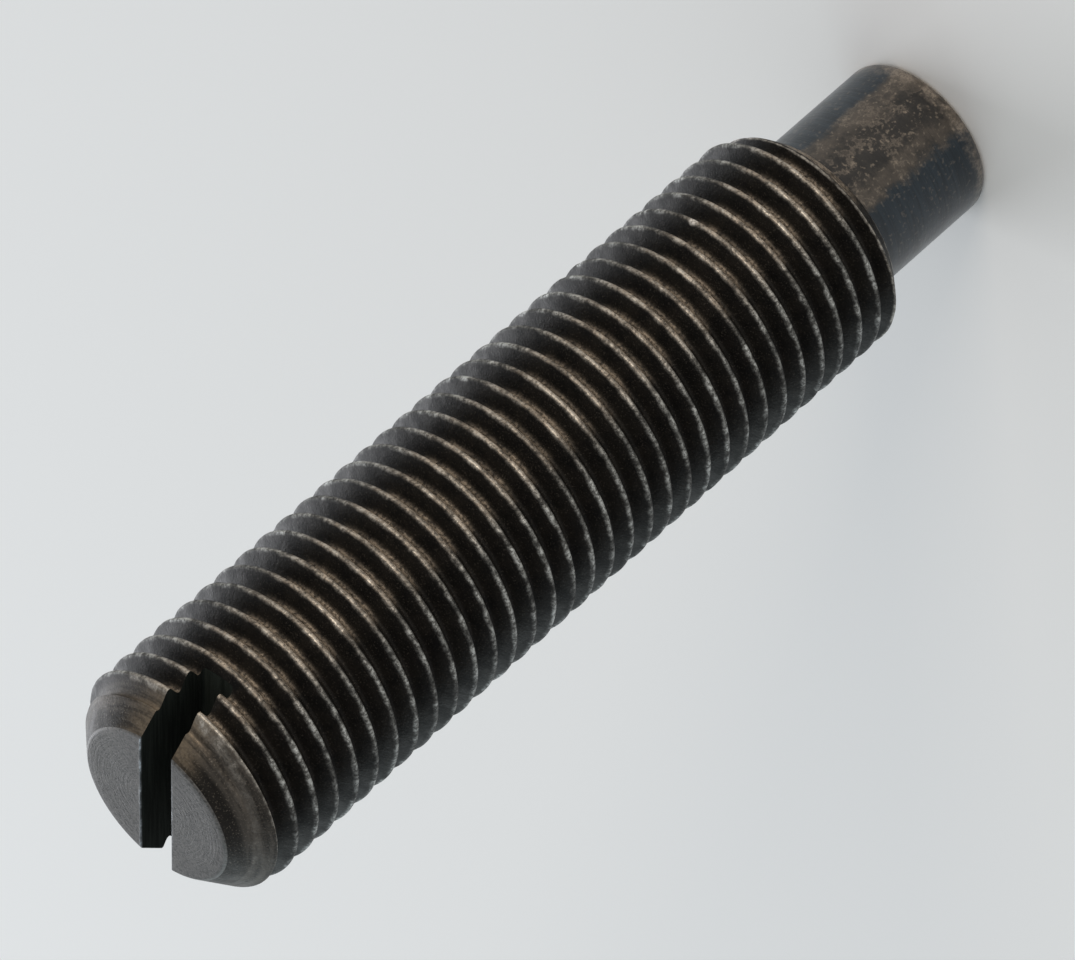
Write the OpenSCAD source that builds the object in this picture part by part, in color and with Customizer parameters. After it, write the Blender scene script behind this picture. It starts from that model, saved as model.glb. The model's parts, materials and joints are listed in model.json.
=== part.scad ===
// Slotted headless adjusting screw with a long dog point, turned from one steel bar.
// It stands on the dog point: the origin is the centre of the point's end face, +Z runs
// up the axis to the slotted end, and the slot lies along Y. All sizes are millimetres.

/* [Thread] */
// Major diameter over the crests
thread_d = 9.4; // [8.6:0.1:11]
// Pitch, the distance from one crest to the next
pitch = 1.0583; // [0.9:0.0001:1.3]
// Width of the flat on top of the ridge
crest_flat = 0.15; // [0.1:0.01:0.25]
// Width of the flat at the bottom of the groove
root_flat = 0.16; // [0.1:0.01:0.25]
// Angle between the two flanks
flank_angle = 60; // [55:1:65]
// Hand of the helix
thread_hand = "left"; // [left, right]
// Angle about the axis at which the helix starts, which sets where the ridge runs out
helix_start = 60; // [0:5:355]

/* [Lengths] */
// Length of the threaded section with its end chamfers
thread_len = 35.7; // [20:0.1:50]
// Length of the dog point from the shoulder to its end face
dog_len = 6.1; // [3:0.1:10]

/* [Dog point] */
// Diameter of the dog point
dog_d = 6.6; // [5:0.1:6.9]
// Radius of the rounded edge of its end face
dog_edge_r = 0.3; // [0.1:0.05:0.8]

/* [Ends] */
// Chamfer of the slotted end, the same along the axis and across it
slot_end_chamfer = 1.4; // [0.8:0.05:2]
// Chamfer from the thread down to the shoulder, the same along the axis and across it
shoulder_chamfer = 0.75; // [0.7:0.05:1.1]

/* [Slot] */
// Width of the screwdriver slot
slot_w = 1.45; // [1:0.05:2.4]
// Depth of the slot below the end face
slot_depth = 3.3; // [1.5:0.1:5]

/* [Hidden] */
black_steel = [0.16, 0.15, 0.14];
$fn = 96;

total_len = dog_len + thread_len;
crest_r = thread_d / 2;
dog_r = dog_d / 2;

// Section of the ridge: up one flank, along the crest and down the other flank
flank_run = (pitch - crest_flat - root_flat) / 2;
thread_depth = flank_run / tan(flank_angle / 2);
root_r = crest_r - thread_depth;
ridge = [
    [root_r, 0],
    [crest_r, flank_run],
    [crest_r, flank_run + crest_flat],
    [root_r, 2 * flank_run + crest_flat]
];

// The helix runs past both ends of the threaded section, which are then turned to form
spare_turns = 1.5;
turn_steps = 36;
helix_bottom = dog_len - spare_turns * pitch;
helix_steps = turn_steps * ceil(thread_len / pitch + 2 * spare_turns);
// How far cutting solids reach past the metal that they take away
cut_room = 1;

// Corner j of the ridge's section where it stands at step i along the helix
function helix_point(i, j) =
    let (turn = 360 * i / turn_steps, angle = helix_start + (thread_hand == "left" ? -turn : turn))
    [ridge[j][0] * cos(angle), ridge[j][0] * sin(angle), helix_bottom + pitch * i / turn_steps + ridge[j][1]];

// Number of corner j at step i in the list of points
function corner(i, j) = len(ridge) * i + j;

// The two triangles between corners p, q at one step and r, s at the next
function strip(p, q, r, s) = [[p, q, s], [p, s, r]];

// Triangles from the middle point m to each side of an open chain of corners
function fan(m, chain) = [for (k = [0:len(chain) - 2]) [m, chain[k], chain[k + 1]]];

// Faces are listed for a right-hand helix, and turned round for a left-hand one
function facing(faces) = thread_hand == "left" ? [for (f = faces) [f[2], f[1], f[0]]] : faces;

// Endless-looking rod with the helical ridge, closed by a fan of triangles at each end
module helical_rod() {
    last = len(ridge) - 1;
    points = [for (i = [0:helix_steps]) for (j = [0:last]) helix_point(i, j)];
    low = len(points);
    high = low + 1;
    top_turn = helix_steps - turn_steps;
    ends = [[0, 0, helix_bottom + pitch / 2], [0, 0, helix_bottom + pitch * (top_turn / turn_steps + 1)]];
    ridge_faces = [for (i = [0:helix_steps - 1]) for (j = [0:last - 1])
        each strip(corner(i, j), corner(i, j + 1), corner(i + 1, j), corner(i + 1, j + 1))];
    root_faces = [for (i = [0:top_turn - 1])
        each strip(corner(i, last), corner(i + turn_steps, 0),
            corner(i + 1, last), corner(i + turn_steps + 1, 0))];
    low_chain = [for (j = [last:-1:0]) corner(0, j), for (i = [1:turn_steps]) corner(i, 0), corner(0, last)];
    high_chain = [
        for (j = [0:last]) corner(helix_steps, j),
        for (i = [helix_steps - 1:-1:top_turn]) corner(i, last),
        corner(helix_steps, 0)
    ];
    polyhedron(
        concat(points, ends),
        facing(concat(ridge_faces, root_faces, fan(low, low_chain), fan(high, high_chain))),
        convexity = 10
    );
}

// What the turning tool leaves of the threaded section: two flat ends with their chamfers
module turned_ends() {
    rotate_extrude()
        polygon([
            [0, dog_len],
            [crest_r - shoulder_chamfer, dog_len],
            [crest_r + cut_room, dog_len + shoulder_chamfer + cut_room],
            [crest_r + cut_room, total_len - slot_end_chamfer - cut_room],
            [crest_r - slot_end_chamfer, total_len],
            [0, total_len]
        ]);
}

// Plain cylindrical point with a rounded edge, running up into the threaded section
module dog_point() {
    edge_steps = 6;
    rotate_extrude()
        polygon([
            [0, 0],
            for (k = [0:edge_steps])
                let (a = 90 * k / edge_steps)
                [dog_r - dog_edge_r * (1 - sin(a)), dog_edge_r * (1 - cos(a))],
            [dog_r, dog_len + cut_room],
            [0, dog_len + cut_room]
        ]);
}

// Room that the slotting saw takes out of the end
module slot_cut() {
    translate([-slot_w / 2, -crest_r - cut_room, total_len - slot_depth])
        cube([slot_w, thread_d + 2 * cut_room, slot_depth + cut_room]);
}

module adjusting_screw() {
    color(black_steel)
        difference() {
            union() {
                intersection() {
                    helical_rod();
                    turned_ends();
                }
                dog_point();
            }
            slot_cut();
        }
}

adjusting_screw();
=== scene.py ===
# %% [markdown]
# # A slotted adjusting screw
# The real screw is one bar of steel. It was turned to size, threaded, sawn across one end for a
# screwdriver and left plain at the other end, the dog point, which presses on what it adjusts.
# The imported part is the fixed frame: everything here keeps to its origin, axes and size, in metres.

# %% Load the frame and read the sizes that it holds
import json
import math

import bpy
import numpy as np
from mathutils import Matrix, Vector


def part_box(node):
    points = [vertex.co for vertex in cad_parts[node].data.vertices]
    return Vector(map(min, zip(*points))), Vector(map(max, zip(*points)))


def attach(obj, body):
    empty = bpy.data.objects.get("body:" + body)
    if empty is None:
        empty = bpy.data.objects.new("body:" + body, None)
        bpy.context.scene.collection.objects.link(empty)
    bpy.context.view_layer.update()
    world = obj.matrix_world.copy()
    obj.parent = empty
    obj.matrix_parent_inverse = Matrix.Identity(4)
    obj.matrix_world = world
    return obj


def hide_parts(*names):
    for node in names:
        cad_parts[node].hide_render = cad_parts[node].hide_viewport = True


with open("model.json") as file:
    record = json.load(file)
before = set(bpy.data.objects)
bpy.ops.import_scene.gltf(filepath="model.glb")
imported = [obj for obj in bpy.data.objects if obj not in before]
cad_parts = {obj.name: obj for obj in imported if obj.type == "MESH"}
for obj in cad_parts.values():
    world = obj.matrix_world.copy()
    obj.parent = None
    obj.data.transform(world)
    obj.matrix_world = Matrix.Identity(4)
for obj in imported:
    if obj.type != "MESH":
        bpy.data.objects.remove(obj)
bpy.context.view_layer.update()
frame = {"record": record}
MM = 0.001
low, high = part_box("adjusting_screw")
crest_radius = (high.x - low.x) / 2
screw_length = high.z
dog_mount = next(m for m in frame["record"]["mounts"] if m["name"] == "dog_point")
dog_radius = dog_mount["dims"]["r_mm"] * MM
print("crests %.2f mm across, dog point %.2f mm, length %.2f mm"
      % (2 * crest_radius / MM, 2 * dog_radius / MM, screw_length / MM))

# %% [markdown]
# ## The section of the thread
# A screw thread is a triangle ridge wound round a bar, with its tip and its valley cut flat. A real
# die leaves both corners a little round, and rubbing rounds the tip further. The section could be
# drawn as a polygon, but a formula for the radius at each distance from the crest is shorter, and the
# same formula tells the finish later where the crest is.

# %% Radius across one pitch
pitch = 1.0583 * MM
crest_flat, root_flat = 0.15 * MM, 0.16 * MM
crest_round, root_round = 0.07 * MM, 0.12 * MM
flank_angle = math.radians(30)
flank_slope = 1 / math.tan(flank_angle)
flank_run = (pitch - crest_flat - root_flat) / 2
root_radius = crest_radius - flank_run * flank_slope


def rounded_min(a, b, width):
    """The smaller of a and b, with the corner where the two cross rounded over that width."""
    share = np.clip(0.5 + 0.5 * (b - a) / width, 0, 1)
    return b + (a - b) * share - width * share * (1 - share)


def ridge_radius(offset):
    """Radius at a distance along the axis from the middle of the crest: a line falls from the crest's
    cylinder at the flank's slope, down to the groove's floor, and both corners are rounded."""
    flank = crest_radius - (np.abs(offset) - crest_flat / 2) * flank_slope
    crest = rounded_min(flank, crest_radius, crest_round)
    return -rounded_min(-crest, -root_radius, root_round)


one_side = np.array([0, 0.035, 0.07, 0.105, 0.16, 0.25, 0.34, 0.42, 0.47]) * MM
across = np.concatenate([[-pitch / 2], -one_side[:0:-1], one_side, [pitch / 2]])
print("thread %.3f mm deep, %d points across a pitch"
      % ((crest_radius - root_radius) / MM, len(across)))

# %% [markdown]
# ## Wear along the crest
# Handling dents the crests: each line of the thread is a little uneven, with a nick here and there.
# Noise in the finish alone would leave the outline too perfect, so the ridge itself loses some height.
# A slow wobble and some ninety seeded dents along the helix are enough.

# %% Height that the crest has lost at each place along the helix
per_turn = 108
spare_turns = 1.5
shoulder_height = 6.1 * MM
turns = math.ceil((screw_length - shoulder_height) / pitch + 2 * spare_turns)
along = np.arange(per_turn * turns + 1) / per_turn
dent_count, wave_count = 90, 24
wobble_depth, worn_reach = 0.03 * MM, 0.2 * MM
chance = np.random.default_rng(41)
dents = chance.uniform(0, turns, dent_count)
dent_depth = chance.uniform(0.01, 0.05, dent_count) * MM
dent_width = chance.uniform(0.004, 0.014, dent_count)
waves = chance.uniform(0.6, 4, wave_count)
shifts = chance.uniform(0, 6, wave_count)
wobble = np.abs(np.sin(2 * np.pi * along[:, None] * waves + shifts).mean(axis=1))
lost = wobble_depth * wobble
lost += (dent_depth * np.exp(-(((along[:, None] - dents) / dent_width) ** 2))).sum(axis=1)
near_crest = np.clip(1 - np.abs(across) / worn_reach, 0, 1)
print("the crest loses %.3f mm at most, %.3f mm on average" % (lost.max() / MM, lost.mean() / MM))

# %% [markdown]
# ## The wound surface
# A thread could be made by a Screw modifier, but then its ends stick out raw. Here the section is
# carried along the helix as one grid, with places along it in one direction and across the ridge in
# the other, and the last point of each turn is the first point of the next. The ends are turned
# afterwards, as on the lathe: a cone at each end limits the radius, and what lies beyond an end folds
# onto one ring there. The thread is left-hand, so it turns clockwise on its way up.

# %% Grid of the thread
helix_start = math.radians(60)
top_chamfer, shoulder_chamfer = 1.4 * MM, 0.75 * MM
top_break, shoulder_break = 0.07 * MM, 0.05 * MM
turned_round = 0.04 * MM
angle = helix_start - 2 * np.pi * along
first_crest = shoulder_height - spare_turns * pitch + flank_run + crest_flat / 2
crest_height = first_crest + pitch * along
ring_low, ring_high = shoulder_height + shoulder_break, screw_length - top_break


def turned_limit(height):
    """Largest radius that the turned cones leave: both fall away from the crests at 45 degrees."""
    at_top = crest_radius - top_chamfer + (screw_length - height)
    at_shoulder = crest_radius - shoulder_chamfer + (height - shoulder_height)
    return np.minimum(at_top, at_shoulder)


wanted = crest_height[:, None] + across
height = np.clip(wanted, ring_low, ring_high)
worn_ridge = ridge_radius(across) - lost[:, None] * near_crest
radius = rounded_min(worn_ridge, turned_limit(height), turned_round)
thread_points = np.stack(
    [radius * np.cos(angle)[:, None], radius * np.sin(angle)[:, None], height], axis=-1)
print("thread grid: %d places along the helix, %d across" % thread_points.shape[:2])

# %% [markdown]
# ## Turned ends
# The end face, the shoulder and the dog point are all turned, so each is a short profile swept round
# the axis. Every edge gets a small break, because a sharp edge shows no highlight and looks drawn.
# The profiles use the thread's own angles, so that they meet its end rings point by point.

# %% Profiles from the point's centre up to the shoulder, and from the thread up to the end's centre
dog_edge, fillet = 0.3 * MM, 0.16 * MM
quarter = np.linspace(0, np.pi / 2, 7)
foot = [[r * dog_radius, 0] for r in (0.3, 0.6, 0.85)]
edge = np.stack([dog_radius - dog_edge * (1 - np.sin(quarter)),
                 dog_edge * (1 - np.cos(quarter))], axis=1)
wall = [[dog_radius, h * MM] for h in (1.2, 2.4, 3.6, 4.8)]
inner = np.stack([dog_radius + fillet * (1 - np.cos(quarter)),
                  shoulder_height - fillet * (1 - np.sin(quarter))], axis=1)
face_edge = crest_radius - shoulder_chamfer
low_profile = np.concatenate([foot, edge, wall, inner, [
    [face_edge - 0.05 * MM, shoulder_height],
    [face_edge + 0.01 * MM, shoulder_height + 0.015 * MM]]])
flat_edge = crest_radius - top_chamfer
high_profile = np.concatenate([[
    [flat_edge + 0.025 * MM, screw_length - 0.03 * MM],
    [flat_edge - 0.015 * MM, screw_length - 0.008 * MM],
    [flat_edge - 0.06 * MM, screw_length]],
    [[r * flat_edge, screw_length] for r in (0.85, 0.6, 0.3)]])
round_angles = helix_start - 2 * np.pi * np.arange(per_turn) / per_turn


def swept(profile):
    """Each point of the profile carried round the axis: radius times the cosine and sine, at its
    height."""
    return np.stack([profile[:, :1] * np.cos(round_angles), profile[:, :1] * np.sin(round_angles),
                     np.repeat(profile[:, 1:], per_turn, axis=1)], axis=-1)


low_points, high_points = swept(low_profile), swept(high_profile)
print("profiles: %d points below the thread, %d above" % (len(low_profile), len(high_profile)))

# %% [markdown]
# ## One closed skin
# The grids could be merged by distance, which depends on rounding. It is safer to number the points so
# that the seams are shared from the start: the end of a turn takes the number of the next turn's start,
# everything folded onto an end ring takes that ring's number, and each pole is one point. A face that
# folds to a line is left out.

# %% Number the points and list the faces from the lower pole to the upper one
rows, bands = thread_points.shape[0], thread_points.shape[1] - 1
thread_ids = np.arange(rows)[:, None] * bands + np.arange(bands + 1)
thread_ids[:, -1] += (per_turn - 1) * bands
ring_of = np.arange(rows)[:, None] % per_turn
first_ring = rows * bands
thread_ids = np.where(wanted <= ring_low, first_ring + ring_of, thread_ids)
thread_ids = np.where(wanted >= ring_high, first_ring + per_turn + ring_of, thread_ids)
ring_low_ids = first_ring + np.arange(per_turn)
ring_high_ids = ring_low_ids + per_turn
low_ids = first_ring + 2 * per_turn + np.arange(low_points[..., 0].size).reshape(-1, per_turn)
high_ids = low_ids[-1, -1] + 1 + np.arange(high_points[..., 0].size).reshape(-1, per_turn)
pole_low = high_ids[-1, -1] + 1
low_rows = np.vstack([np.full(per_turn, pole_low), low_ids, ring_low_ids])
high_rows = np.vstack([ring_high_ids, high_ids, np.full(per_turn, pole_low + 1)])


def quads(grid):
    """Corner numbers of the faces of a grid whose rows run up the screw and whose columns run round
    it."""
    faces = np.stack([grid[:-1, :-1], grid[1:, :-1], grid[1:, 1:], grid[:-1, 1:]], axis=-1)
    return faces.reshape(-1, 4)


def closed(grid):
    """The grid with its first column repeated at the end, so that it closes round the axis."""
    return np.hstack([grid, grid[:, :1]])


end_rings = swept(np.array([[turned_limit(ring_low), ring_low], [turned_limit(ring_high), ring_high]]))
points = np.concatenate([thread_points[:, :-1].reshape(-1, 3), end_rings.reshape(-1, 3),
                         low_points.reshape(-1, 3), high_points.reshape(-1, 3),
                         [[0, 0, 0], [0, 0, screw_length]]])
parts = [quads(thread_ids.T), quads(closed(low_rows)), quads(closed(high_rows))]
finish_of = np.concatenate([np.full(2 * len(q), k) for k, q in enumerate(parts)])
corners = np.concatenate(parts)
triangles = np.stack([corners[:, [0, 1, 2]], corners[:, [0, 2, 3]]], axis=1).reshape(-1, 3)
whole = (triangles != np.roll(triangles, 1, axis=1)).all(axis=1)
triangles, finish_of = triangles[whole], finish_of[whole]
used, triangles = np.unique(triangles, return_inverse=True)
points, triangles = points[used], triangles.reshape(-1, 3)
print("skin: %d points, %d triangles" % (len(points), len(triangles)))

# %% [markdown]
# ## Making an object from arrays
# `foreach_set` copies whole arrays into a mesh, which is far quicker than adding faces one by one.
# The object stays at the origin, unturned, because its place is in its points.

# %% Helper that puts arrays into a mesh object
def piece_from(name, points, triangles, finish_of=None):
    """A mesh object of these points and triangles, with a material number for each triangle."""
    mesh = bpy.data.meshes.new(name)
    mesh.vertices.add(len(points))
    mesh.vertices.foreach_set("co", np.asarray(points, np.float32).ravel())
    mesh.loops.add(triangles.size)
    mesh.loops.foreach_set("vertex_index", np.asarray(triangles, np.int32).ravel())
    mesh.polygons.add(len(triangles))
    mesh.polygons.foreach_set("loop_start", np.arange(0, triangles.size, 3, dtype=np.int32))
    if finish_of is not None:
        mesh.polygons.foreach_set("material_index", np.asarray(finish_of, np.int32))
    mesh.update(calc_edges=True)
    mesh.validate()
    piece = bpy.data.objects.new(name, mesh)
    bpy.context.scene.collection.objects.link(piece)
    return piece


screw = piece_from("screw_body", points, triangles, finish_of)
print("made", screw.name, "with", len(screw.data.polygons), "faces")

# %% [markdown]
# ## Finishes: the node helpers
# Black oxide is a thin dark skin on the steel. Each place on the screw wears it differently, so there
# are four finishes, which share four small node groups. A few helpers keep the wiring short: they add
# a node with its inputs, do a step of arithmetic, run a value along a ramp, blend two colours, make
# noise, and start or place a group with named sockets.

# %% Helpers for nodes
def put(tree, kind, sockets=None, **settings):
    """Adds a node. Settings are its own properties, and sockets its inputs: a value, or another
    node's output."""
    node = tree.nodes.new(kind)
    for key, value in settings.items():
        setattr(node, key, value)
    for key, value in (sockets or {}).items():
        if isinstance(value, bpy.types.NodeSocket):
            tree.links.new(value, node.inputs[key])
        else:
            node.inputs[key].default_value = value
    return node


def calc(tree, operation, a, b=0.0):
    """One arithmetic step on one or two values."""
    return put(tree, "ShaderNodeMath", {0: a, 1: b}, operation=operation).outputs[0]


def product(tree, first, *others):
    """All the values multiplied together, in that order."""
    for other in others:
        first = calc(tree, "MULTIPLY", first, other)
    return first


def ramp(tree, value, start, end, low=0.0, high=1.0):
    """Runs smoothly from low to high while the value goes from start to end, and stays flat outside."""
    return put(tree, "ShaderNodeMapRange", {
        "Value": value, "From Min": start, "From Max": end, "To Min": low, "To Max": high},
        interpolation_type="SMOOTHSTEP").outputs[0]


def blend(tree, share, a, b):
    """Colour a, replaced by colour b to that share."""
    return put(tree, "ShaderNodeMix", {0: share, 6: a, 7: b}, data_type="RGBA").outputs[2]


def noise(tree, place, scale, detail, roughness=0.5):
    """Smooth noise, 0.5 on average, with about so many blotches to each unit of the place."""
    return put(tree, "ShaderNodeTexNoise", {
        "Vector": place, "Scale": scale, "Detail": detail, "Roughness": roughness}).outputs[0]


def new_group(name, inputs, outputs):
    """An empty node group with these sockets, and with it the inputs to read and outputs to feed."""
    tree = bpy.data.node_groups.new(name, "ShaderNodeTree")
    for label, kind in inputs.items():
        tree.interface.new_socket(label, in_out="INPUT", socket_type="NodeSocket" + kind)
    for label, kind in outputs.items():
        tree.interface.new_socket(label, in_out="OUTPUT", socket_type="NodeSocket" + kind)
    return tree, tree.nodes.new("NodeGroupInput").outputs, tree.nodes.new("NodeGroupOutput").inputs


def place_group(tree, group, sockets=None):
    """One copy of a group in a material, with its own input values; returns its outputs."""
    return put(tree, "ShaderNodeGroup", sockets, node_tree=group).outputs


print("node helpers ready")

# %% [markdown]
# ## Where on the screw a point lies
# Marks on turned metal follow the lathe, not the room: they run round the axis. This group turns Object
# coordinates into millimetres, a radius, a height, a direction round the axis, and the distance to the
# middle of the nearest crest. A UV map could carry the same, but the slot's cut would have to keep it.

# %% Group: place on the screw
screw_place, _, out = new_group("place on the screw", {}, {
    "Millimetres": "Vector", "Around": "Vector", "Radius": "Float", "Height": "Float",
    "From Crest": "Float"})
spot = put(screw_place, "ShaderNodeTexCoord").outputs["Object"]
spot = put(screw_place, "ShaderNodeVectorMath", {0: spot, "Scale": 1 / MM},
           operation="SCALE").outputs[0]
flat = put(screw_place, "ShaderNodeVectorMath", {0: spot, 1: (1, 1, 0)},
           operation="MULTIPLY").outputs[0]
around = put(screw_place, "ShaderNodeVectorMath", {0: flat}, operation="NORMALIZE").outputs[0]
from_axis = put(screw_place, "ShaderNodeVectorMath", {0: flat}, operation="LENGTH").outputs["Value"]
xyz = put(screw_place, "ShaderNodeSeparateXYZ", {0: spot}).outputs
turn = calc(screw_place, "DIVIDE", calc(screw_place, "ARCTAN2", xyz[1], xyz[0]), 2 * math.pi)
turn = calc(screw_place, "SUBTRACT", turn, helix_start / (2 * math.pi) - 0.5)
climb = calc(screw_place, "SUBTRACT", xyz[2], first_crest / MM)
climb = calc(screw_place, "DIVIDE", climb, pitch / MM)
phase = calc(screw_place, "FRACT", calc(screw_place, "ADD", climb, turn))
from_crest = product(screw_place, calc(screw_place, "SUBTRACT", phase, 0.5), pitch / MM)
for label, value in {"Millimetres": spot, "Around": around, "Radius": from_axis, "Height": xyz[2],
                     "From Crest": from_crest}.items():
    screw_place.links.new(value, out[label])
print("group:", screw_place.name)

# %% [markdown]
# ## Oxide, turning marks and rubbed edges
# Three effects make the finishes. The oxide is mottled and carries pale specks of dust and bare metal.
# Turning leaves fine rings that are long round the axis and thin along it: noise stretched round the
# axis gives that without a seam. Rubbing bares the metal at an edge, in patches.

# %% Group: oxide speckle
oxide_speckle, into, out = new_group("oxide speckle", {"Millimetres": "Vector", "Grain": "Float"},
                                     {"Mottle": "Float", "Specks": "Float", "Relief": "Float"})
cloud = noise(oxide_speckle, into["Millimetres"], 1.3, 5.0, 0.62)
grain = noise(oxide_speckle, into["Millimetres"], into["Grain"], 2.0)
dust = noise(oxide_speckle, into["Millimetres"], product(oxide_speckle, into["Grain"], 1.7), 1.0)
oxide_speckle.links.new(ramp(oxide_speckle, cloud, 0.33, 0.68), out["Mottle"])
oxide_speckle.links.new(ramp(oxide_speckle, dust, 0.58, 0.74), out["Specks"])
oxide_speckle.links.new(grain, out["Relief"])
print("group:", oxide_speckle.name)

# %% Group: turning marks
turning_marks, into, out = new_group("turning marks", {
    "Around": "Vector", "Travel": "Float", "Lines": "Float", "Stretch": "Float"}, {"Marks": "Float"})
circle = put(turning_marks, "ShaderNodeVectorMath", {0: into["Around"], "Scale": into["Stretch"]},
             operation="SCALE").outputs[0]
step = put(turning_marks, "ShaderNodeCombineXYZ",
           {"Z": product(turning_marks, into["Travel"], into["Lines"])}).outputs[0]
wound = put(turning_marks, "ShaderNodeVectorMath", {0: circle, 1: step}, operation="ADD").outputs[0]
streak = noise(turning_marks, wound, 1.0, 3.0, 0.65)
turning_marks.links.new(ramp(turning_marks, streak, 0.3, 0.7), out["Marks"])
print("group:", turning_marks.name)

# %% Group: rubbed edge
rubbed_edge, into, out = new_group("rubbed edge", {
    "Distance": "Float", "Reach": "Float", "Millimetres": "Vector", "Patches": "Float",
    "Broken": "Float", "Grit": "Float"}, {"Bare": "Float"})
patch = noise(rubbed_edge, into["Millimetres"], into["Patches"], 4.0)
grit = noise(rubbed_edge, into["Millimetres"], 8.0, 3.0, 0.7)
sway = noise(rubbed_edge, into["Millimetres"], 1.6, 3.0)
wander = product(rubbed_edge, calc(rubbed_edge, "SUBTRACT", sway, 0.5),
                 product(rubbed_edge, into["Reach"], 0.6))
away = calc(rubbed_edge, "ABSOLUTE", calc(rubbed_edge, "ADD", into["Distance"], wander))
reach = product(rubbed_edge, into["Reach"], ramp(rubbed_edge, patch, 0.3, 0.7, 0.8, 1.2))
near = ramp(rubbed_edge, away, reach, 0.0)
kept = product(rubbed_edge, ramp(rubbed_edge, patch, 0.60, 0.40), into["Broken"])
grit_kept = product(rubbed_edge, ramp(rubbed_edge, grit, 0.58, 0.42), into["Grit"])
worn_off = product(rubbed_edge, calc(rubbed_edge, "SUBTRACT", 1.0, kept),
                   calc(rubbed_edge, "SUBTRACT", 1.0, grit_kept))
rubbed_edge.links.new(product(rubbed_edge, near, worn_off), out["Bare"])
print("group:", rubbed_edge.name)

# %% [markdown]
# ## A finish to start from
# Every finish ends in one Principled shader whose roughness and bump follow the same marks as its
# colour. Oxide is not a clean metal, so Metallic stays below one where it is thick.

# %% Helpers that start a finish, place the groups in it and close it
def steel_finish(name):
    """A new material with its Principled shader, and the place on the screw to work from."""
    material = bpy.data.materials.new(name)
    material.use_nodes = True
    tree = material.node_tree
    shader = next(n for n in tree.nodes if n.type == "BSDF_PRINCIPLED")
    return material, tree, shader, place_group(tree, screw_place)


def speckle(tree, spot, grain):
    """The oxide's mottle, specks and relief, with about so many grains to a millimetre."""
    return place_group(tree, oxide_speckle, {"Millimetres": spot["Millimetres"], "Grain": grain})


def turning(tree, spot, travel, lines, stretch):
    """Turning marks, so many to a millimetre of travel; a larger stretch breaks them more often."""
    return place_group(tree, turning_marks, {
        "Around": spot["Around"], "Travel": travel, "Lines": lines, "Stretch": stretch})["Marks"]


def rub(tree, spot, distance, reach, patches, broken, grit):
    """Share of bare metal beside an edge. Its distance and the rubbing's reach are in millimetres."""
    return place_group(tree, rubbed_edge, {
        "Distance": distance, "Reach": reach, "Millimetres": spot["Millimetres"], "Patches": patches,
        "Broken": broken, "Grit": grit})["Bare"]


def two_sides(tree, spot, degrees):
    """One on two opposite sides of the screw and zero between them: the size of the cosine of the
    angle from that direction."""
    angle = math.radians(degrees)
    toward = put(tree, "ShaderNodeVectorMath", {
        0: spot["Around"], 1: (math.cos(angle), math.sin(angle), 0)}, operation="DOT_PRODUCT")
    return calc(tree, "ABSOLUTE", toward.outputs["Value"])


def across_slot(tree, spot):
    """Distance in millimetres from the plane in the middle of the slot."""
    xyz = put(tree, "ShaderNodeSeparateXYZ", {0: spot["Millimetres"]}).outputs
    return calc(tree, "ABSOLUTE", xyz[0])


def wire_finish(tree, shader, colour, rough, metal, relief, depth):
    """Feeds the shader: colour, roughness, metallic, and a bump of that depth in metres from the
    relief."""
    tree.links.new(colour, shader.inputs["Base Color"])
    tree.links.new(rough, shader.inputs["Roughness"])
    tree.links.new(metal, shader.inputs["Metallic"])
    bump = put(tree, "ShaderNodeBump", {"Height": relief, "Distance": depth, "Strength": 1.0})
    tree.links.new(bump.outputs[0], shader.inputs["Normal"])


print("finish helpers ready")

# %% [markdown]
# ## The thread's finish
# On the flanks the oxide is whole: almost black and oily, with a few pale specks. The crest is rubbed:
# a thin bright line, broken and grainy, runs along the side that faces the slotted end. On two opposite
# sides, one of them facing the low warm lamp, the line is painted browner, and an uneven brown smear
# runs from it down into the groove: a painted highlight of that lamp, not wear. Painting this by hand
# would never follow the helix, so it is placed by the distance from the crest.

# %% Finish: threaded steel, the oxide
threaded, tree, shader, spot = steel_finish("threaded_steel")
shader.inputs["Specular IOR Level"].default_value = 0.14
oxide = speckle(tree, spot, grain=9.0)
deep_oxide, thin_oxide = (0.0030, 0.0028, 0.0026, 1), (0.0090, 0.0080, 0.0068, 1)
thread_dust = (0.055, 0.049, 0.042, 1)
colour = blend(tree, oxide["Mottle"], deep_oxide, thin_oxide)
colour = blend(tree, product(tree, oxide["Specks"], 0.4), colour, thread_dust)
print("finish:", threaded.name, "- oxide")

# %% Finish: threaded steel, the painted highlight smear on two opposite sides
smear_highlight_brown, groove_highlight_brown = (0.490, 0.414, 0.335, 1), (0.252, 0.211, 0.167, 1)
smear_highlight_start = 0.12
below_crest = calc(tree, "SUBTRACT", crest_radius / MM, spot["Radius"])
# Two opposite sides, one facing the low warm lamp: the smear there is a painted highlight.
highlight_sides = two_sides(tree, spot, degrees=-95)
behind = calc(tree, "DIVIDE", calc(tree, "SUBTRACT", smear_highlight_start, spot["From Crest"]), pitch / MM)
behind = product(tree, calc(tree, "FRACT", behind), pitch / MM)
smear_highlight = product(
    tree, ramp(tree, behind, 0.0, 0.1), ramp(tree, behind, 0.82, 0.5), ramp(tree, highlight_sides, 0.87, 0.98),
    ramp(tree, below_crest, 0.0, 0.09, 0.45, 1.0), ramp(tree, oxide["Relief"], 0.36, 0.6, 0.2, 1.0),
    ramp(tree, oxide["Mottle"], 0.1, 0.8, 0.45, 1.1))
smear_highlight_colour = blend(tree, ramp(tree, below_crest, 0.1, 0.45), smear_highlight_brown, groove_highlight_brown)
colour = blend(tree, smear_highlight, colour, smear_highlight_colour)
print("finish:", threaded.name, "- smear")

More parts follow.
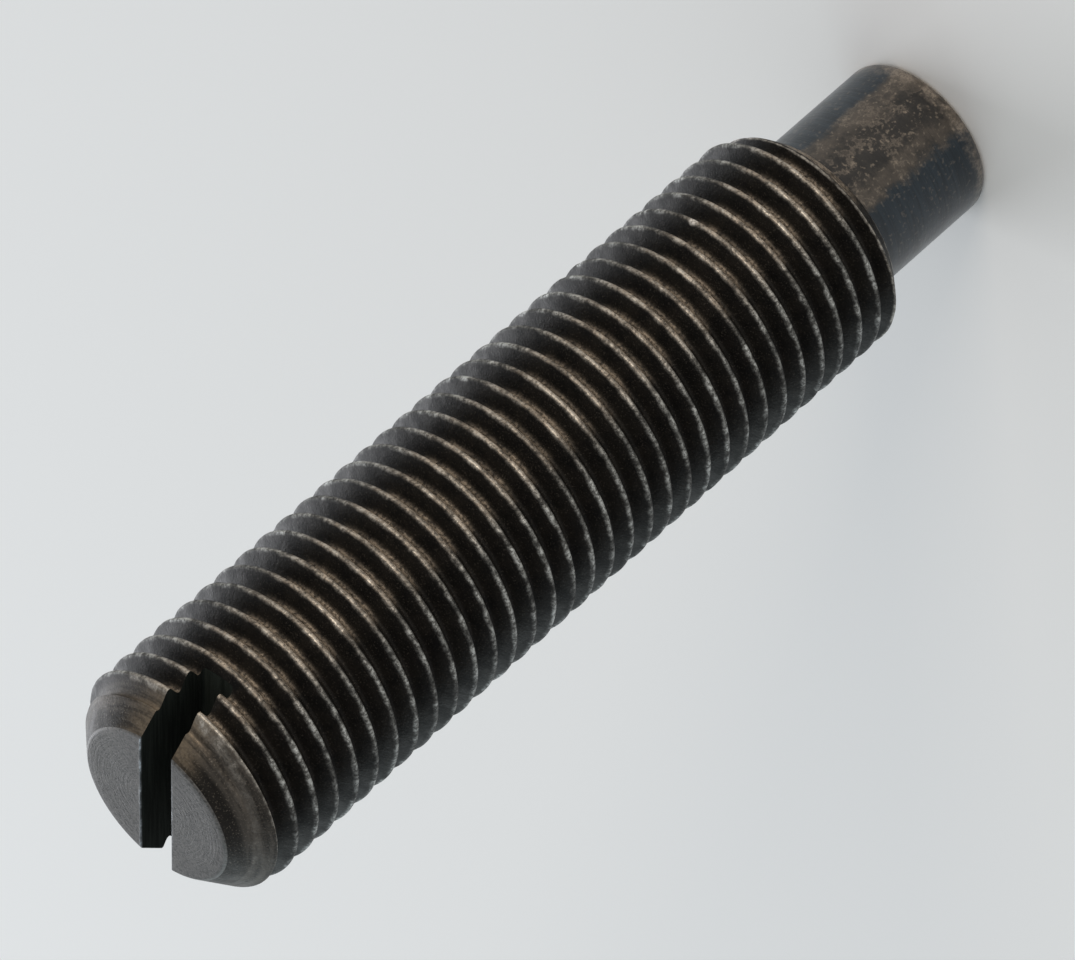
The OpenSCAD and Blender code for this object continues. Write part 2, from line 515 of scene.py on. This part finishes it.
# %% Finish: threaded steel, the rubbed crest and one deeper nick
bright_steel, lamp_tinted_steel = (0.47, 0.486, 0.474, 1), (0.395, 0.373, 0.336, 1)
line_from_crest = 0.022
line = rub(tree, spot, calc(tree, "SUBTRACT", spot["From Crest"], line_from_crest),
           reach=0.13, patches=1.8, broken=0.65, grit=0.75)
line = product(tree, line, ramp(tree, below_crest, 0.2, 0.06),
               ramp(tree, oxide["Mottle"], 0.0, 0.8, 0.4, 1.0))
# On those sides the line is painted a browner, darker steel: a painted tint of the low warm lamp.
steel = blend(tree, ramp(tree, highlight_sides, 0.74, 0.95), bright_steel, lamp_tinted_steel)
colour = blend(tree, line, colour, steel)
nick_place, nick_steel = (1.12, -4.56, 11.72), (0.52, 0.50, 0.47, 1)
to_nick = put(tree, "ShaderNodeVectorMath", {0: spot["Millimetres"], 1: nick_place},
              operation="DISTANCE").outputs["Value"]
nick = product(tree, ramp(tree, to_nick, 0.24, 0.08), ramp(tree, oxide["Relief"], 0.36, 0.56, 0.3, 1.0))
colour = blend(tree, nick, colour, nick_steel)
print("finish:", threaded.name, "- crest")

# %% [markdown]
# Each end of the thread was turned to a cone. The one by the slot is dark brown-grey with grainy rings,
# darkest beside the end face and rubbed tan at the slot's corners. The one by the shoulder stays black.
# Where a cone cuts the ridge, it leaves an edge that is rubbed like a crest. That edge lies where the
# ridge and the cone have the same radius, so their difference is the distance to it.

# %% Finish: threaded steel, the turned cone by the slot
cone_dark, cone_pale = (0.016, 0.0143, 0.0126, 1), (0.068, 0.061, 0.053, 1)
cone_grain, cone_black = (0.078, 0.068, 0.056, 1), (0.009, 0.008, 0.007, 1)
cone_tan, cone_dust = (0.132, 0.107, 0.078, 1), (0.17, 0.148, 0.122, 1)
end_height, flat_radius = screw_length / MM, flat_edge / MM
top_limit = calc(tree, "SUBTRACT", (crest_radius - top_chamfer + screw_length) / MM, spot["Height"])
on_cone = ramp(tree, calc(tree, "SUBTRACT", spot["Radius"], top_limit), -0.09, -0.02)
rings = turning(tree, spot, spot["Radius"], lines=5.0, stretch=1.4)
turned = blend(tree, rings, cone_dark, cone_pale)
turned = blend(tree, ramp(tree, oxide["Relief"], 0.45, 0.7, 0, 0.35), turned, cone_grain)
inner_ring = ramp(tree, spot["Radius"], flat_radius + 0.7, flat_radius + 0.35, 0, 0.9)
turned = blend(tree, inner_ring, turned, cone_black)
tan = product(tree, ramp(tree, across_slot(tree, spot), 2.1, 0.85),
              ramp(tree, rings, 0.1, 0.7, 0.35, 0.9), ramp(tree, oxide["Relief"], 0.3, 0.65, 0.6, 1.0))
turned = blend(tree, tan, turned, cone_tan)
turned = blend(tree, product(tree, oxide["Specks"], 0.35), turned, cone_dust)
fading = ramp(tree, spot["Height"], end_height - 1.55, end_height - 1.15, 0, 0.9)
colour = blend(tree, calc(tree, "MAXIMUM", on_cone, fading), colour, turned)
print("finish:", threaded.name, "- cone")

# %% Finish: threaded steel, the edges that the cones cut, and the shader
cut_steel = (0.37, 0.352, 0.32, 1)
ridge = calc(tree, "SUBTRACT", (crest_radius + crest_flat / 2 * flank_slope) / MM,
             product(tree, calc(tree, "ABSOLUTE", spot["From Crest"]), flank_slope))
ridge = calc(tree, "MAXIMUM", calc(tree, "MINIMUM", ridge, crest_radius / MM), root_radius / MM)
low_limit = calc(tree, "ADD", (crest_radius - shoulder_chamfer - shoulder_height) / MM, spot["Height"])
cut_edge = calc(tree, "SUBTRACT", ridge, calc(tree, "MINIMUM", top_limit, low_limit))
edges = rub(tree, spot, calc(tree, "ADD", cut_edge, 0.03),
            reach=0.14, patches=2.4, broken=0.7, grit=0.6)
edges = product(tree, edges, ramp(tree, spot["Height"], end_height - 1.3, end_height - 1.0, 1.0, 0.15))
colour = blend(tree, edges, colour, cut_steel)
bare = calc(tree, "MAXIMUM", calc(tree, "MAXIMUM", line, edges),
            product(tree, calc(tree, "MAXIMUM", smear_highlight, on_cone), 0.6))
rough = calc(tree, "SUBTRACT", ramp(tree, oxide["Mottle"], 0, 1, 0.58, 0.50), product(tree, bare, 0.04))
metal = ramp(tree, bare, 0, 1, 0.2, 0.65)
relief = calc(tree, "ADD", oxide["Relief"], product(tree, rings, on_cone, 0.5))
wire_finish(tree, shader, colour, rough, metal, relief, depth=0.014 * MM)
print("finish:", threaded.name, "with", len(tree.nodes), "nodes")

# %% [markdown]
# ## The dog point's finish
# The point's oxide is smooth, satin and blue-black, with a film of oil that shines where it is seen
# at a low angle: a thin coat gives that. On two opposite sides, one of them facing the low warm lamp,
# the point is painted a brown, speckled film with dark patches, paler along its two edges: partly a
# worn film, partly a painted highlight of that lamp with painted edges. Its end edge is rubbed
# brighter, because it does the pressing. The corner under the shoulder is painted darker: painted
# shade.

# %% Finish: dog point steel, the oxide and the film with its painted highlight
dog, tree, shader, spot = steel_finish("dog_point_steel")
shader.inputs["Specular IOR Level"].default_value = 0.2
shader.inputs["Coat Weight"].default_value = 0.6
shader.inputs["Coat Roughness"].default_value = 0.3
blue_dark, blue_pale = (0.0030, 0.0074, 0.0125, 1), (0.0105, 0.0190, 0.0280, 1)
film_highlight_dark, film_highlight_pale = (0.0115, 0.0098, 0.0084, 1), (0.073, 0.0610, 0.0490, 1)
vein_tan, stain_grey = (0.19, 0.160, 0.130, 1), (0.018, 0.017, 0.016, 1)
dog_dust = (0.29, 0.245, 0.195, 1)
oxide = speckle(tree, spot, grain=3.6)
film_highlight_noise = noise(tree, spot["Millimetres"], 1.0, 8.0, 0.68)
rings = turning(tree, spot, calc(tree, "ADD", spot["Height"], spot["Radius"]), lines=9.0, stretch=1.6)
# Two opposite sides, one facing the low warm lamp: the brown film there is partly a painted highlight.
film_highlight_sides = two_sides(tree, spot, degrees=-102)
film_and_highlight = calc(tree, "ADD", film_highlight_sides, product(tree, calc(tree, "SUBTRACT", film_highlight_noise, 0.5), 0.22))
film_and_highlight = ramp(tree, film_and_highlight, 0.825, 0.90)
colour = blend(tree, rings, blue_dark, blue_pale)
stripes = calc(tree, "ADD", film_highlight_noise, ramp(tree, film_highlight_sides, 0.993, 0.945, -0.11, 0.11))
wear_and_highlight = blend(tree, ramp(tree, stripes, 0.32, 0.68), film_highlight_dark, film_highlight_pale)
vein = ramp(tree, calc(tree, "ABSOLUTE", calc(tree, "SUBTRACT", film_highlight_noise, 0.56)), 0.035, 0.0)
wear_and_highlight = blend(tree, product(tree, vein, 0.4), wear_and_highlight, vein_tan)
colour = blend(tree, product(tree, film_and_highlight, 0.9), colour, wear_and_highlight)
stain = product(tree, ramp(tree, oxide["Mottle"], 0.4, 0.0, 0, 0.6), film_and_highlight)
colour = blend(tree, stain, colour, stain_grey)
specks = product(tree, oxide["Specks"], ramp(tree, film_and_highlight, 0, 1, 0.15, 0.34))
colour = blend(tree, specks, colour, dog_dust)
print("finish:", dog.name, "- oxide and film")

# %% Finish: dog point steel, the end edge, the painted shade under the shoulder and the shader
edge_steel, shoulder_shade_colour = (0.29, 0.25, 0.21, 1), (0.010, 0.009, 0.008, 1)
end_edge = calc(tree, "SUBTRACT", calc(tree, "SUBTRACT", spot["Height"], spot["Radius"]),
                0.2 - dog_radius / MM)
edge_bare = rub(tree, spot, end_edge, reach=0.6, patches=1.7, broken=0.75, grit=0.6)
colour = blend(tree, product(tree, edge_bare, 0.8), colour, edge_steel)
# Painted shade: darker towards the corner under the shoulder.
shoulder_shade = ramp(tree, spot["Height"], shoulder_height / MM - 0.7, shoulder_height / MM)
colour = blend(tree, product(tree, shoulder_shade, 0.8), colour, shoulder_shade_colour)
rough = calc(tree, "SUBTRACT", ramp(tree, oxide["Mottle"], 0, 1, 0.48, 0.40),
             product(tree, edge_bare, 0.08))
metal = calc(tree, "MAXIMUM", ramp(tree, film_and_highlight, 0, 1, 0.2, 0.5), product(tree, edge_bare, 0.8))
relief = calc(tree, "ADD", oxide["Relief"], product(tree, rings, 0.5))
wire_finish(tree, shader, colour, rough, metal, relief, depth=0.012 * MM)
print("finish:", dog.name, "with", len(tree.nodes), "nodes")

# %% [markdown]
# ## The end face's finish
# The slotted end was faced on the lathe: an even mid-grey with a fine grain and faint rings. Its rim is
# rubbed paler; the slot's two edges are painted paler still, partly rubbed and partly a painted
# highlight.

# %% Finish: end face steel
end_face, tree, shader, spot = steel_finish("end_face_steel")
face_dark, face_pale = (0.087, 0.084, 0.080, 1), (0.112, 0.108, 0.103, 1)
face_ring, face_grain = (0.070, 0.068, 0.065, 1), (0.040, 0.039, 0.037, 1)
face_dust, face_highlight_steel = (0.18, 0.176, 0.172, 1), (0.22, 0.23, 0.24, 1)
slot_half = 0.725 * MM
oxide = speckle(tree, spot, grain=8.5)
rings = turning(tree, spot, spot["Radius"], lines=9.0, stretch=1.2)
colour = blend(tree, oxide["Mottle"], face_dark, face_pale)
colour = blend(tree, product(tree, rings, 0.2), colour, face_ring)
colour = blend(tree, ramp(tree, oxide["Relief"], 0.56, 0.38, 0, 0.9), colour, face_grain)
colour = blend(tree, product(tree, oxide["Specks"], 0.45), colour, face_dust)
to_slot = calc(tree, "SUBTRACT", across_slot(tree, spot), slot_half / MM + 0.03)
to_rim = calc(tree, "SUBTRACT", spot["Radius"], flat_radius)
# Along the slot's edges: partly rubbed steel, partly a painted highlight.
slot_edge_highlight = rub(tree, spot, to_slot, reach=0.1, patches=1.5, broken=0.6, grit=0.4)
rim_rub = rub(tree, spot, to_rim, reach=0.12, patches=1.8, broken=0.8, grit=0.5)
wear_and_highlight = calc(tree, "MAXIMUM", slot_edge_highlight, product(tree, rim_rub, 0.2))
colour = blend(tree, product(tree, wear_and_highlight, 0.7), colour, face_highlight_steel)
rough = calc(tree, "SUBTRACT", ramp(tree, oxide["Relief"], 0.3, 0.7, 0.5, 0.62),
             product(tree, wear_and_highlight, 0.15))
metal = ramp(tree, wear_and_highlight, 0, 1, 0.6, 0.9)
relief = calc(tree, "ADD", oxide["Relief"], product(tree, rings, 0.6))
wire_finish(tree, shader, colour, rough, metal, relief, depth=0.010 * MM)
print("finish:", end_face.name, "with", len(tree.nodes), "nodes")

# %% [markdown]
# ## The slot's finish
# Light hardly reaches the saw cut, and its oxide holds oil: nearly black, a touch green, with long saw
# marks. The lip at the mouth is painted pale: partly bare where a screwdriver has been, partly a
# painted highlight.

# %% Finish: sawn slot steel
sawn, tree, shader, spot = steel_finish("sawn_slot_steel")
shader.inputs["Specular IOR Level"].default_value = 0.05
sawn_dark, sawn_pale = (0.0070, 0.0090, 0.0076, 1), (0.0158, 0.0192, 0.0166, 1)
lip_highlight_steel = (0.24, 0.26, 0.28, 1)
oxide = speckle(tree, spot, grain=8.0)
saw_stretch = (6.0, 0.35, 9.0)
saw_place = put(tree, "ShaderNodeVectorMath", {0: spot["Millimetres"], 1: saw_stretch},
                operation="MULTIPLY").outputs[0]
saw = noise(tree, saw_place, 1.0, 3.0)
colour = blend(tree, ramp(tree, saw, 0.35, 0.7), sawn_dark, sawn_pale)
# The lip: partly bare steel, partly a painted highlight along the slot's edge.
lip_highlight = rub(tree, spot, calc(tree, "SUBTRACT", spot["Height"], end_height),
          reach=0.1, patches=1.4, broken=0.6, grit=0.4)
colour = blend(tree, lip_highlight, colour, lip_highlight_steel)
rough = ramp(tree, lip_highlight, 0, 1, 0.95, 0.4)
metal = ramp(tree, lip_highlight, 0, 1, 0.0, 0.9)
relief = calc(tree, "ADD", saw, product(tree, oxide["Relief"], 0.4))
wire_finish(tree, shader, colour, rough, metal, relief, depth=0.02 * MM)
print("finish:", sawn.name, "with", len(tree.nodes), "nodes")

# %% [markdown]
# ## Sawing the slot
# A slotting saw cuts straight across the end. The saw is a prism whose section has soft bottom corners
# and a mouth that flares a hair's breadth, so the slot's edges catch light. A Boolean takes it out of
# the skin, and the walls keep the saw's own finish.

# %% Shape of the saw
slot_depth, corner_radius, flare = 3.3 * MM, 0.12 * MM, 0.035 * MM
floor_height = screw_length - slot_depth
bend = np.linspace(0, np.pi / 2, 5)
right_side = np.concatenate([
    np.stack([slot_half - corner_radius * (1 - np.sin(bend)),
              floor_height + corner_radius * (1 - np.cos(bend))], axis=1),
    [[slot_half, screw_length - flare],
     [slot_half + flare, screw_length],
     [slot_half + 3 * flare, screw_length + MM]]])
section = np.concatenate([right_side, right_side[::-1] * [-1, 1]])
saw_ends = np.array([-1, 1]) * (crest_radius + MM)
sides = len(section)
saw_points = np.concatenate([np.insert(section, 1, y, axis=1) for y in saw_ends]
                            + [[[0, y, screw_length - slot_depth / 2]] for y in saw_ends])
near_ids = np.arange(sides)
next_ids = (near_ids + 1) % sides
saw_triangles = np.concatenate([
    np.stack([near_ids, near_ids + sides, next_ids + sides], axis=1),
    np.stack([near_ids, next_ids + sides, next_ids], axis=1),
    np.stack([near_ids, next_ids, np.full(sides, 2 * sides)], axis=1),
    np.stack([next_ids + sides, near_ids + sides, np.full(sides, 2 * sides + 1)], axis=1)])
saw_blade = piece_from("saw_blade", saw_points, saw_triangles)
saw_blade.data.materials.append(sawn)
print("saw: %.2f mm wide, %d sides" % (2 * slot_half / MM, sides))

# %% Cut the slot
sharp_angle = math.radians(38)
for material in (threaded, dog, end_face):
    screw.data.materials.append(material)
cut = screw.modifiers.new("slot", "BOOLEAN")
cut.object, cut.operation = saw_blade, "DIFFERENCE"
cut.solver, cut.material_mode = "EXACT", "TRANSFER"
bpy.context.view_layer.update()
cut_mesh = bpy.data.meshes.new_from_object(screw.evaluated_get(bpy.context.evaluated_depsgraph_get()))
screw.modifiers.clear()
screw.data = cut_mesh
bpy.data.objects.remove(saw_blade)
cut_mesh.shade_smooth()
cut_mesh.set_sharp_from_angle(angle=sharp_angle)
print("screw: %d faces, finishes %s" % (len(cut_mesh.polygons), [m.name for m in cut_mesh.materials]))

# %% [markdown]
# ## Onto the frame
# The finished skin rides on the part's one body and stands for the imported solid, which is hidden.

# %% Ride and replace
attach(screw, "root")
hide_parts("adjusting_screw")

# %% [markdown]
# ## Floor and light
# A plain pale floor carries the screw and its shadow. The light is a soft studio: an even sky, a warm
# lamp low in front, a large cool one behind that greys the left outline, and a weak one opposite the
# first.

# %% Floor
side = 3.0
floor_points = np.array([[-side, -side, 0], [side, -side, 0], [side, side, 0], [-side, side, 0]])
floor = piece_from("floor", floor_points, np.array([[0, 1, 2], [0, 2, 3]]))
paper = bpy.data.materials.new("pale_paper")
paper.use_nodes = True
paper_shader = next(n for n in paper.node_tree.nodes if n.type == "BSDF_PRINCIPLED")
paper_shader.inputs["Base Color"].default_value = (0.76, 0.76, 0.75, 1)
paper_shader.inputs["Roughness"].default_value = 0.9
paper_shader.inputs["Specular IOR Level"].default_value = 0.1
floor.data.materials.append(paper)
print("floor", 2 * side, "m wide")

# %% Sky and lamps
world = bpy.data.worlds.new("studio")
bpy.context.scene.world = world
world.use_nodes = True
sky = next(n for n in world.node_tree.nodes if n.type == "BACKGROUND")
sky.inputs["Color"].default_value = (0.93, 0.965, 1.0, 1)
sky.inputs["Strength"].default_value = 0.55


def lamp(name, direction, distance, size, power, colour):
    """A soft lamp, so wide and so tall, that stands in that direction from the screw's middle and
    looks at it."""
    data = bpy.data.lights.new(name, "AREA")
    data.shape = "RECTANGLE"
    data.size, data.size_y = size
    data.energy, data.color = power, colour
    made = bpy.data.objects.new(name, data)
    toward = Vector(direction).normalized()
    made.location = Vector((0, 0, screw_length / 2)) + toward * distance
    made.rotation_euler = toward.to_track_quat("Z", "Y").to_euler()
    bpy.context.scene.collection.objects.link(made)


lamp("key", direction=(-0.03, -0.99, 0.10), distance=0.5, size=(0.18, 0.10), power=1.9,
     colour=(1.0, 0.86, 0.70))
lamp("rim", direction=(0.777, 0.565, 0.276), distance=0.5, size=(0.40, 0.32), power=1.85,
     colour=(0.93, 0.95, 1.0))
lamp("fill", direction=(-0.129, 0.918, 0.375), distance=0.6, size=(0.39, 0.42), power=0.9,
     colour=(0.84, 0.97, 1.0))
print("lit by the sky and", len(bpy.data.lights), "lamps")

# %% [markdown]
# ## Camera
# The photograph looks along the screw from its slotted end with a long lens, and the screw lies across
# the picture from the lower left to the upper right. The screw stands here, so the camera is rolled.

# %% Camera at the photograph's viewing angle
azimuth, elevation, roll = math.radians(-26.7), math.radians(28.44), math.radians(-131.31)
aim, camera_distance = Vector((-0.102, 0.417, 21.504)) * MM, 394.37
back = Vector((math.sin(azimuth) * math.cos(elevation), -math.cos(azimuth) * math.cos(elevation),
               math.sin(elevation)))
level = Vector((math.cos(azimuth), math.sin(azimuth), 0))
rise = back.cross(level)
right = level * math.cos(roll) + rise * math.sin(roll)
up = back.cross(right)
lens = bpy.data.cameras.new("photograph")
lens.lens, lens.sensor_width = 364.9, 36
lens.clip_start, lens.clip_end = 0.01, 100
camera = bpy.data.objects.new("photograph", lens)
turned_to = Matrix((right, up, back)).transposed().to_4x4()
camera.matrix_world = Matrix.Translation(aim + back * camera_distance * MM) @ turned_to
bpy.context.scene.collection.objects.link(camera)
bpy.context.scene.camera = camera
bpy.context.scene.view_settings.view_transform = "Standard"
print("camera %.0f mm away, lens %.0f mm" % (camera_distance, lens.lens))
